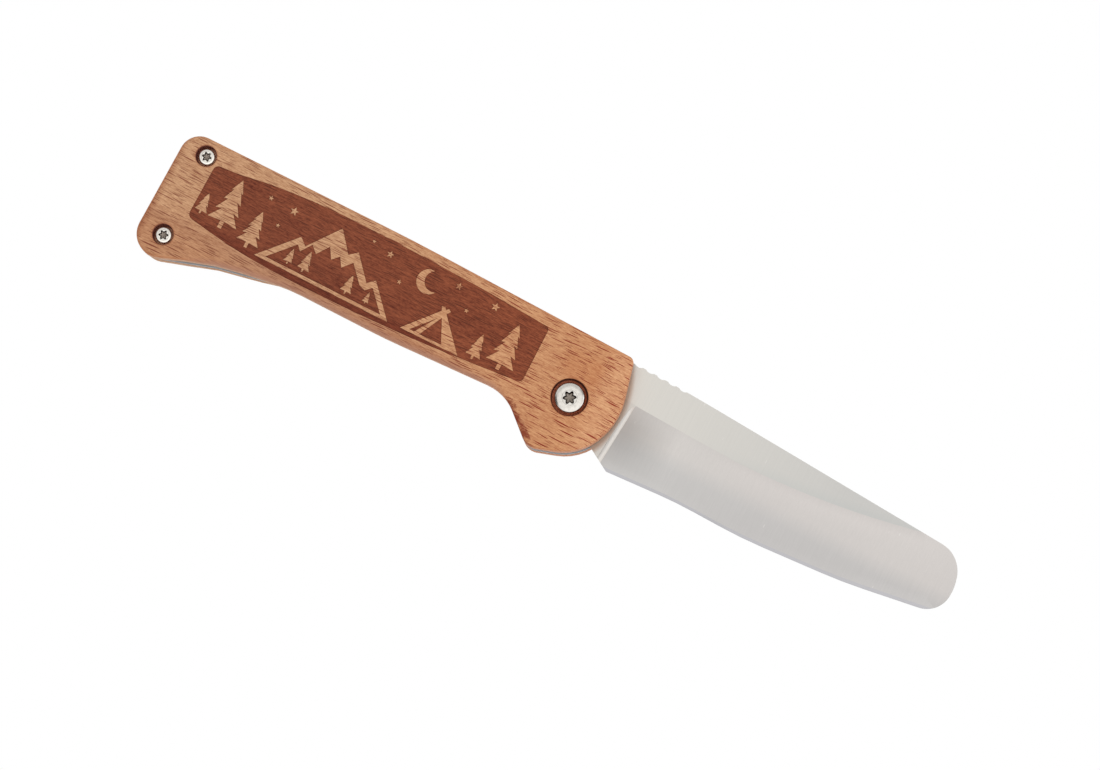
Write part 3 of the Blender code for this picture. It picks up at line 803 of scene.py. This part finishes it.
art = {
    "pines": [pine(-80.2, -1.8, 11.0), pine(-73.6, -2.9, 8.2), pine(-85.2, -0.9, 4.6, 3),
              pine(-15.9, -1.75, 10.4), pine(-21.6, -2.15, 5.6, 3)],
    "ridge": points((-71.2, -3.4), (-64.2, 4.3), (-62.6, 2.9), (-57.4, 9.7), (-53.9, 5.4),
                    (-52.2, 6.8), (-47.9, 1.9), (-46.4, 3.3), (-40.4, -3.3)),
    "ridgeShade": points((-69.0, -2.7), (-64.1, 2.6), (-63.1, 1.5), (-61.4, 3.9), (-59.9, 2.5),
                         (-58.0, 5.2), (-56.6, 2.9), (-55.2, 4.3), (-54.0, 2.4), (-52.2, 4.4),
                         (-49.0, 0.9), (-47.6, 0.4), (-46.3, 1.6), (-42.4, -2.6)),
    "grove": [pine(-64.4, -2.0, 3.4, 3), pine(-60.9, -2.1, 4.6, 3), pine(-51.0, -2.1, 4.2, 3),
              pine(-46.4, -2.0, 2.5, 3)],
    "moon": crescent(-36.6, 8.0, 2.6),
    "stars": [star(-67.9, 8.3, 0.95), star(-73.4, 8.6, 0.6), star(-46.2, 9.4, 0.8),
              star(-42.0, 5.2, 0.55), star(-30.6, 10.0, 0.8), star(-27.0, 6.2, 0.55),
              star(-69.6, 4.2, 0.5), star(-22.0, 9.6, 0.95), star(-50.4, 10.3, 0.45)],
    "tent": points((-37.6, -3.1), (-31.5, 3.9), (-31.9, 4.8), (-31.2, 5.0), (-30.8, 4.4),
                   (-30.3, 4.9), (-29.7, 4.5), (-30.3, 3.7), (-24.4, -2.9)),
    "tentDoor": points((-30.8, 2.6), (-33.4, -2.5), (-28.4, -2.4)),
    "tentSeam": points((-35.7, -2.5), (-34.6, -2.5), (-31.6, 2.1)),
}

# The motifs left light, what is etched inside two of them, under their numbers, and the grove
# that stands light again in the ridge's shade
lightLoops = [*art["pines"], art["ridge"], art["moon"], *art["stars"], art["tent"]]
ridgeNumber, tentNumber = len(art["pines"]), len(lightLoops) - 1
etchLoops = {"panel": [panelOutline], "light": lightLoops, ridgeNumber: [art["ridgeShade"]],
             tentNumber: [art["tentDoor"], art["tentSeam"]], "grove": art["grove"]}


def onHandle(loop):
    return [pivotPlace.xy + spot * mm for spot in loop]


frontShape = {
    "rimSteps": 8,
    "boreFacets": 96,
    "boreBreak": 0.06 * mm,
    "etchDepth": 0.12 * mm,
    "bellySpan": ((-86, -80), (-10, -16)),
    "bellyFall": 6,
}


# The front scale: rounded rim, screw seats, and the panel etched a little below its face
def frontScale(finishes):
    face, side, burnt, etched = range(4)
    mesh = bmesh.new()
    rimShadeShare = mesh.verts.layers.float.new("rim")
    bellyShadeShare = mesh.verts.layers.float.new("belly")
    radii = [(rim - spot).length for rim, spot in zip(handleRim, handleOutline)]
    least, most = min(radii), max(radii)
    bottom = raised(mesh, handleOutline, frontLow)
    below = bottom
    for k in range(frontShape["rimSteps"] + 1):
        turn = pi / 2 * k / frontShape["rimSteps"]
        loop = [spot.lerp(rim, 1 - cos(turn)) for spot, rim in zip(handleOutline, handleRim)]
        ring = raised(mesh, loop, [frontHigh - radius * (1 - sin(turn)) for radius in radii])
        for vertex, radius in zip(ring, radii):
            # painted shade on the rounded rim: whole at its side, gone where it meets the face
            vertex[rimShadeShare] = cos(turn) ** 2
            # painted shading on the belly's rounding, strongest where the rounding is widest,
            # fading out at both ends
            along = (vertex.co.x - pivotPlace.x) / mm
            ends = [min(1, max(0, (along - start) / (end - start)))
                    for start, end in frontShape["bellySpan"]]
            relief = (radius - least) / (most - least) * ends[0] * ends[1]
            vertex[bellyShadeShare] = relief * (1 - sin(turn) ** frontShape["bellyFall"])
        band(mesh, below, ring, side if k == 0 else face)
        below = ring
    for vertex in bottom:
        vertex[rimShadeShare] = 1.0

    topHoles, bottomHoles = [], []
    depths = joined("front_scale")
    for centre, radius, hole in bores:
        seat = min(v.co.z for v in depths.verts
                   if abs((v.co.xy - centre).length - radius) < radiusReach)
        facets, lip = frontShape["boreFacets"], frontShape["boreBreak"]
        levels = [(radius + lip, frontHigh), (radius, frontHigh - lip), (radius, seat),
                  (hole, seat), (hole, frontLow)]
        loops = [raised(mesh, circle(centre, reach, facets), z) for reach, z in levels]
        for one, two in zip(loops, loops[1:]):
            band(mesh, one, two, burnt)
        topHoles.append(loops[0])
        bottomHoles.append(loops[-1])
    depths.free()
    sheet(mesh, [bottom, *bottomHoles], side)

    floor = frontHigh - frontShape["etchDepth"]
    steps = {key: [[raised(mesh, onHandle(loop), level) for level in (frontHigh, floor)]
                   for loop in loops] for key, loops in etchLoops.items()}
    for upper, lower in (step for group in steps.values() for step in group):
        band(mesh, upper, lower, etched)
    (panelTop, panelFloor), = steps["panel"]
    sheet(mesh, [below, *topHoles, panelTop], face)
    sheet(mesh, [panelFloor, *(lower for upper, lower in steps["light"])], etched)
    for key, step in enumerate(steps["light"]):
        inner = steps.get(key, [])
        sheet(mesh, [step[0], *(upper for upper, lower in inner)], face)
        holes = [lower for upper, lower in steps["grove"]] if key == ridgeNumber else []
        for upper, lower in inner:
            sheet(mesh, [lower, *holes], etched)
    for upper, lower in steps["grove"]:
        sheet(mesh, [upper], face)
    bmesh.ops.recalc_face_normals(mesh, faces=mesh.faces)
    return piece("frontScale", mesh, finishes)


screwShape = {
    "facets": 96,
    "flatShare": 0.69,
    "domeLean": radians(21),
    "domeSteps": 8,
    "roundShare": 0.05,
    "roundSteps": 4,
    "tipShare": 0.8,
    "ringShare": 1.10,
    "ringStep": 0.05 * mm,
    "starDepthShare": 0.55,
    "starLobes": 6,
    "starValleyShare": 0.66,
    "starPower": 0.85,
    "starTaper": 0.72,
    "pitShare": 0.25,
    "pitRows": 2,
    "weld": 0.002 * mm,
}

# Where the screws of each kind are on each side, their star's radius, how the stars are turned
# in degrees, front ones first, and the steel's name and tones
screwKinds = {
    "pivotScrews": (("pivot",), 1.45 * mm, (30, 12),
                    ("steelPivot", (225, 222, 217), (174, 170, 166))),
    "buttScrews": (("upper", "lower"), 1.05 * mm, (8, 22, 51, 34),
                   ("steelButt", (238, 236, 230), (200, 196, 190))),
}


# Rows of a screw's outline from its tip over the head into the star, each with its distance
# from the axis, its height over the head's top and whether it follows the star's lobes
def screwRows(size):
    shape = screwShape
    head, height, shank = size["Head Radius"], size["Head Height"], size["Shank Radius"]
    star = size["Star Radius"]
    lean = shape["domeLean"]
    edge = head * shape["roundShare"]
    flat = head * shape["flatShare"]
    dome = head - flat - edge * (1 - sin(lean))
    drop = dome * tan(lean / 2)
    tip, under, tipShare = size["Length"] * -1, height * -1, shape["tipShare"]
    rows = [(0.0, tip, 0), (shank * tipShare, tip, 0), (shank, shank * (1 - tipShare) + tip, 0),
            (shank, under, 0), (head, under, 0)]
    for k in range(shape["roundSteps"]):
        turn = pi / 2 + (lean - pi / 2) * k / shape["roundSteps"]
        rows.append((head - edge * (1 - sin(turn)), edge * (cos(turn) - cos(lean)) - drop, 0))
    for k in range(shape["domeSteps"] + 1):
        turn = lean * (1 - k / shape["domeSteps"])
        rows.append((flat + dome * (sin(turn) / sin(lean)),
                     dome * ((cos(turn) - 1) / sin(lean)), 0))
    ring = star * shape["ringShare"]
    pit = height * -shape["starDepthShare"]
    rows += [(ring, 0.0, 0), (ring - shape["ringStep"], -shape["ringStep"], 0),
             (star, -shape["ringStep"], 1), (star * shape["starTaper"], pit, 1),
             (0.0, pit - star * shape["pitShare"], 0)]
    return rows


# Geometry nodes that put a screw on every point; over is 1 where it points down, and spin
# turns its star
def screwTree():
    tree = bpy.data.node_groups.new("screwSet", "GeometryNodeTree")
    graph = Graph(tree, "GeometryNode")
    inputs = {"Geometry": ("Places",), "Material": ("Steel", "Recess"),
              "Float": ("Head Radius", "Head Height", "Shank Radius", "Length", "Star Radius")}
    for kind, names in inputs.items():
        for name in names:
            tree.interface.new_socket(name, in_out="INPUT", socket_type="NodeSocket" + kind)
    tree.interface.new_socket("Screws", in_out="OUTPUT", socket_type="NodeSocketGeometry")
    given = tree.nodes.new("NodeGroupInput")
    size = {socket.name: Wire(graph, socket) for socket in given.outputs if socket.name}
    rows = screwRows(size)
    facets = screwShape["facets"]

    # half a step more keeps the rows whole when the divisions aren't exact
    index = graph.node("InputIndex", {}) + 0.5
    row = (index / (facets + 1)).math("FLOOR")
    column = index - row * (facets + 1) - 0.5
    turn = column * (2 * pi / facets)
    lobe = ((turn * screwShape["starLobes"]).math("COSINE") * 0.5 + 0.5) ** screwShape["starPower"]
    valley = screwShape["starValleyShare"]
    starred = lobe * (1 - valley) + valley

    def chosen(part):
        switch = tree.nodes.new("GeometryNodeIndexSwitch")
        switch.data_type = "FLOAT"
        while len(switch.index_switch_items) < len(rows):
            switch.index_switch_items.new()
        graph.connect(switch.inputs[0], row)
        for place, values in zip(switch.inputs[1:], rows):
            graph.connect(place, values[part])
        return Wire(graph, switch.outputs[0])

    reach, level, lobed = (chosen(part) for part in range(3))
    radius = reach * (lobed * (starred - 1) + 1)
    place = graph.node("ShaderNodeCombineXYZ", {
        0: radius * turn.math("COSINE"), 1: radius * turn.math("SINE"), 2: level})
    mesh = graph.node("MeshGrid", {"Vertices X": len(rows), "Vertices Y": facets + 1})
    mesh = graph.node("SetPosition", {"Geometry": mesh, "Position": place})

    def kept(mesh, name, value, domain):
        return graph.node("StoreNamedAttribute", {"Geometry": mesh, "Name": name, "Value": value},
                          data_type="FLOAT", domain=domain)

    def named(name):
        return graph.node("InputNamedAttribute", {"Name": name}, data_type="FLOAT")

    mesh = kept(mesh, "turned", radius, "POINT")
    above = len(rows) - screwShape["pitRows"] - 0.5
    mesh = kept(mesh, "depth", row.math("GREATER_THAN", above), "POINT")
    faceRow = (index / facets).math("FLOOR")
    mesh = kept(mesh, "recess", faceRow.math("GREATER_THAN", above - 1), "FACE")
    mesh = graph.node("FlipFaces", {"Mesh": mesh})
    mesh = graph.node("MergeByDistance", {"Geometry": mesh, "Distance": screwShape["weld"]})
    turned = graph.node("ShaderNodeCombineXYZ", {0: named("over") * pi, 1: 0.0, 2: named("spin")})
    mesh = graph.node("InstanceOnPoints", {"Points": size["Places"], "Instance": mesh,
                                           "Rotation": turned})
    mesh = graph.node("RealizeInstances", {"Geometry": mesh})
    mesh = graph.node("SetMaterial", {"Geometry": mesh, "Material": size["Steel"]})
    inStar = named("recess").math("GREATER_THAN", 0.5)
    mesh = graph.node("SetMaterial", {"Geometry": mesh, "Selection": inStar,
                                      "Material": size["Recess"]})
    graph.connect(tree.nodes.new("NodeGroupOutput").inputs["Screws"], mesh)
    return tree


# The screws of one kind, read off the CAD screws that they stand for
def screwSet(name, tree, nodes, starRadius, turns, steel, recess):
    data = bpy.data.meshes.new(name)
    over = [float(node.startswith("rear")) for node in nodes]
    tops = []
    for node, down in zip(nodes, over):
        low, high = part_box(node)
        tops.append(((low.x + high.x) / 2, (low.y + high.y) / 2, low.z if down else high.z))
    data.from_pydata(tops, [], [])
    for key, values in (("over", over), ("spin", [radians(turn) for turn in turns])):
        data.attributes.new(key, "FLOAT", "POINT").data.foreach_set("value", values)
    axis = Vector(tops[0][:2])
    low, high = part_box(nodes[0])
    headRadius = (high.x - low.x) / 2
    probe = joined(nodes[0])
    away = [((v.co.xy - axis).length, v.co.z) for v in probe.verts]
    probe.free()
    seat = min(z for reach, z in away if abs(reach - headRadius) < radiusReach)
    shank = min(reach for reach, z in away if abs(z - seat) < levelReach)
    sizes = {"Head Radius": headRadius, "Head Height": high.z - seat, "Shank Radius": shank,
             "Length": high.z - min(z for reach, z in away), "Star Radius": starRadius,
             "Steel": steel, "Recess": recess}
    thing = added(name, data)
    screwing = thing.modifiers.new("screws", "NODES")
    screwing.node_group = tree
    for item in tree.interface.items_tree:
        if item.name in sizes:
            screwing[item.identifier] = sizes[item.name]
    plain = flattened(thing)
    bpy.data.objects.remove(thing)
    return dressed(name, plain)


faceWood = {
    "buttLight": (222, 176, 137), "buttDark": (172, 119, 86), "buttFleck": (124, 50, 30),
    "frontLight": (227, 171, 124), "frontDark": (183, 114, 77), "frontFleck": (140, 36, 14),
    # the rim tone is painted shade on the rounded rims, and the belly tone is painted shading on
    # the belly's rounding
    "halo": (150, 80, 40), "rim": (194, 120, 76), "belly": (184, 138, 118),
    "smudge": (126, 40, 22), "fleckShare": 1.0, "rough": 0.5, "deep": None,
}
sideWood = {**faceWood, "frontLight": (216, 156, 118), "frontDark": (196, 130, 96),
            "fleckShare": 0.9, "deep": 2.0}
# the butt seats' tones are lighter than the wood: painted light that offsets the shade deep in
# their narrow seats
seatWood = {**faceWood, "buttLight": (250, 196, 162), "buttDark": (238, 178, 142),
            "frontLight": (222, 122, 86), "frontDark": (190, 98, 68),
            # the charred tones also colour the painted shadow in the seats
            "buttCharAndShadow": (116, 52, 44), "frontCharAndShadow": (62, 32, 26),
            "fleckShare": 0.0, "rough": 0.6, "deep": 2.0}
etchWood = {**faceWood, "buttLight": (156, 86, 58), "buttDark": (92, 38, 25),
            "frontLight": (166, 90, 58), "frontDark": (96, 38, 24),
            "buttFleck": (70, 28, 20), "frontFleck": (72, 26, 18),
            "fleckShare": 0.8, "rough": 0.6}
boreSpots = [(centre, radius) for centre, radius, hole in bores]
beechFace = beechFaces("beechFace", faceWood, boreSpots)
beechSide = beech("beechSide", sideWood)[0].material
beechSeat = beechSeats("beechSeat", seatWood, boreSpots)
beechEtched = beechPanel("beechEtched", etchWood)

# Tone, roughness, scratch cells, contrast and metallic of each plain steel
plainSteels = {
    # the plunge's light tone is a painted highlight, for the light it catches from the tip's side
    "steelPlungeLit": ((228, 225, 222), 0.5, (8.0, 0.3, 1.0), 0.10, 1.0),
    # the edge bevel's darker bluish tone is painted shade, for the dark reflection along the edge
    "steelEdgeShaded": ((187, 187, 193), 0.30, (12.0, 0.4, 12.0), 0.06, 1.0),
    "steelLiner": ((184, 184, 187), 0.40, (0.12, 9.0, 9.0), 0.10, 0.75),
    "steelPin": ((190, 189, 186), 0.28, (6.0, 6.0, 0.3), 0.10, 1.0),
}
bronzeTones = ((205, 160, 96), (160, 112, 62))
metals = {name: bladeSteel(name) for name in bladeSteels}
metals |= {name: brushed(name, *values)[0].material for name, values in plainSteels.items()}
metals["recess"] = recessSteel("recessSteel")
metals["bronze"] = cloudy("bronzeSheet", "bronze", *bronzeTones)[0].material
print("materials made")

front = frontScale([beechFace, beechSide, beechSeat, beechEtched])
settle(front, "handle", "beech", "front_scale")

rearShape = {
    "outward": -0.2,
    "seatMargin": 0.05 * mm,
}


# Seats of the screws, outer face and rim, or the side and the face on the liner
def rearFace(face):
    place = face.calc_center_median().xy
    if any((place - centre).length < radius + rearShape["seatMargin"]
           for centre, radius in boreSpots):
        return 2
    return 0 if face.normal.z < rearShape["outward"] else 1


rear = softened("rearScale", "rear_scale", [beechFace, beechSide, beechSeat], 0.0, rearFace)
settle(rear, "handle", "beech", "rear_scale")
print("scales made")

bladeLow, bladeHigh = (corner.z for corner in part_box("blade"))
bladeMiddle = (bladeLow + bladeHigh) / 2

bladeShape = {
    "edgeBreak": 0.07 * mm,
    "edgeLand": 0.05 * mm,
    "levelLand": 0.01 * mm,
    "plungeEnd": 13.6 * mm,
    "plungeLean": 0.08,
    "wallNormal": 0.3,
}


# Flat of the blade, hollow grind, cutting bevel and the plunge between grind and tang
def bladeFace(face):
    away = [abs(v.co.z - bladeMiddle) for v in face.verts]
    flat = min(away) > bladeHigh - bladeMiddle - bladeShape["levelLand"]
    if flat or abs(face.normal.z) < bladeShape["wallNormal"]:
        return 0
    if min(away) < bladeShape["edgeLand"]:
        return 2
    near = face.calc_center_median().x - pivotPlace.x < bladeShape["plungeEnd"]
    return 3 if near and abs(face.normal.x) > bladeShape["plungeLean"] else 1


bladeLooks = [metals[name] for name in ("steelFlat", "steelGrind", "steelEdgeShaded", "steelPlungeLit")]
blade = softened("bladeSteel", "blade", bladeLooks, bladeShape["edgeBreak"], bladeFace)
settle(blade, "blade", "blade_steel", "blade")

# Body, slot, look and edge break of each kind, and the nodes of that kind
smallParts = {
    ("handle", "liner_steel", "steelLiner", 0.05 * mm): ("front_liner", "rear_liner"),
    ("lock_leaf", "liner_steel", "steelLiner", 0.05 * mm): ("lock_leaf",),
    ("lock_leaf", "pin_steel", "steelPin", 0.0): ("detent_ball",),
    ("handle", "pin_steel", "steelPin", 0.04 * mm): (
        "pivot_barrel", "stop_pin", "upper_standoff", "lower_standoff"),
    ("handle", "bronze", "bronze", 0.0): ("front_washer", "rear_washer"),
}
for (body, slot, look, edgeBreak), nodes in smallParts.items():
    for node in nodes:
        one, two = node.split("_")
        settle(softened(one + two.title(), node, [metals[look]], edgeBreak), body, slot, node)
print("metal parts made")

oneTree = screwTree()
for name, (spots, starRadius, turns, look) in screwKinds.items():
    nodes = [f"{side}_{spot}_screw" for side in ("front", "rear") for spot in spots]
    made = screwSet(name, oneTree, nodes, starRadius, turns, turnedSteel(*look),
                    metals["recess"])
    settle(made, "handle", "screw_steel", *nodes)
print("screws made")


# A camera that looks down from a little ahead of the pivot, rolled as in the photograph
def makeCamera():
    look = bpy.data.cameras.new("view")
    look.sensor_width = camera["sensor"]
    look.lens = camera["sensor"] * camera["distance"] / camera["frameWidth"]
    look.clip_start, look.clip_end = camera["clip"]
    eye = added("view", look)
    back = Vector((*camera["lean"], 1)).normalized()
    right = Vector((cos(camera["roll"]), sin(camera["roll"]), 0))
    right = (right - back * right.dot(back)).normalized()
    up = back.cross(right)
    target = Vector((pivotPlace.x, pivotPlace.y, 0)) + Vector(camera["target"])
    eye.matrix_world = Matrix.Translation(target + back * camera["distance"]) @ Matrix(
        (right, up, back)).transposed().to_4x4()
    bpy.context.scene.camera = eye


# The sky is brightest about an axis, with dark cards in it for the screw heads to show
studio = {
    "floorHalf": 4.0,
    "floorDrop": 0.02 * mm,
    "floorTones": ((0.78, 0.78, 0.78, 1), (0.82, 0.82, 0.82, 1)),
    "floorRough": 0.9,
    "floorCloud": (0.002, 2, 0.5),
    "sky": (0.80, 1.30),
    "skyAxis": Vector((0.20, -0.25, 0.94)).normalized(),
    "skySpan": (0.78, 0.98),
    "skyTone": paint(255, 253, 249),
    "cards": (((-0.56, -0.32, 0.77), (0.955, 0.985), 0.85),
              ((0.36, 0.56, 0.74), (0.965, 0.99), 0.5)),
    "lampPlace": (1.2, 0.45, 1.0),
    "lampSize": 1.0,
    "lampPower": 3.4,
}


# How far a direction goes along an axis
def along(parts, axis):
    return sum((part * share for part, share in zip(parts, axis)), 0.0)


def makeStudio():
    mesh = bmesh.new()
    half, low = studio["floorHalf"], -studio["floorDrop"]
    mesh.faces.new([mesh.verts.new((x * half, y * half, low))
                    for x, y in ((-1, -1), (1, -1), (1, 1), (-1, 1))])
    data = bpy.data.meshes.new("floor")
    mesh.to_mesh(data)
    mesh.free()
    floor = added("floor", data)
    pale = Finish("paleFloor")
    tone = pale.mix(pale.cloud(*studio["floorCloud"]), *studio["floorTones"])
    pale.set(Base_Color=tone, Roughness=studio["floorRough"])
    white = pale.node("Emission", {"Color": (1, 1, 1, 1), "Strength": 1.0})
    seen = pale.node("LightPath", {}, "Is Camera Ray")
    for ray in ("Is Glossy Ray", "Is Transmission Ray"):
        seen = seen.most(pale.node("LightPath", {}, ray))
    output = pale.tree.nodes["Material Output"]
    blend = pale.node("MixShader", {0: seen, 1: Wire(pale, pale.shader.outputs[0]), 2: white})
    pale.connect(output.inputs["Surface"], blend)
    data.materials.append(pale.material)

    world = bpy.data.worlds.new("studio")
    world.use_nodes = True
    sky = Graph(world.node_tree)
    parts = sky.parts(sky.node("TexCoord", {}, "Generated"))
    dim, bright = studio["sky"]
    glow = along(parts, studio["skyAxis"]).between(*studio["skySpan"]) * (bright - dim) + dim
    cards = [along(parts, Vector(aim).normalized()).between(*span) * depth
             for aim, span, depth in studio["cards"]]
    glow = glow * (1 - reduce(Wire.most, cards))
    ground = world.node_tree.nodes["Background"]
    ground.inputs["Color"].default_value = studio["skyTone"]
    sky.connect(ground.inputs["Strength"], glow)
    bpy.context.scene.world = world

    lamp = bpy.data.lights.new("softbox", "AREA")
    lamp.shape = "SQUARE"
    lamp.size = studio["lampSize"]
    lamp.energy = studio["lampPower"]
    holder = added("softbox", lamp)
    holder.location = studio["lampPlace"]
    holder.rotation_euler = Vector(studio["lampPlace"]).to_track_quat("Z", "Y").to_euler()


makeCamera()
makeStudio()
bpy.context.scene.view_settings.view_transform = "Standard"
print("camera and studio ready")
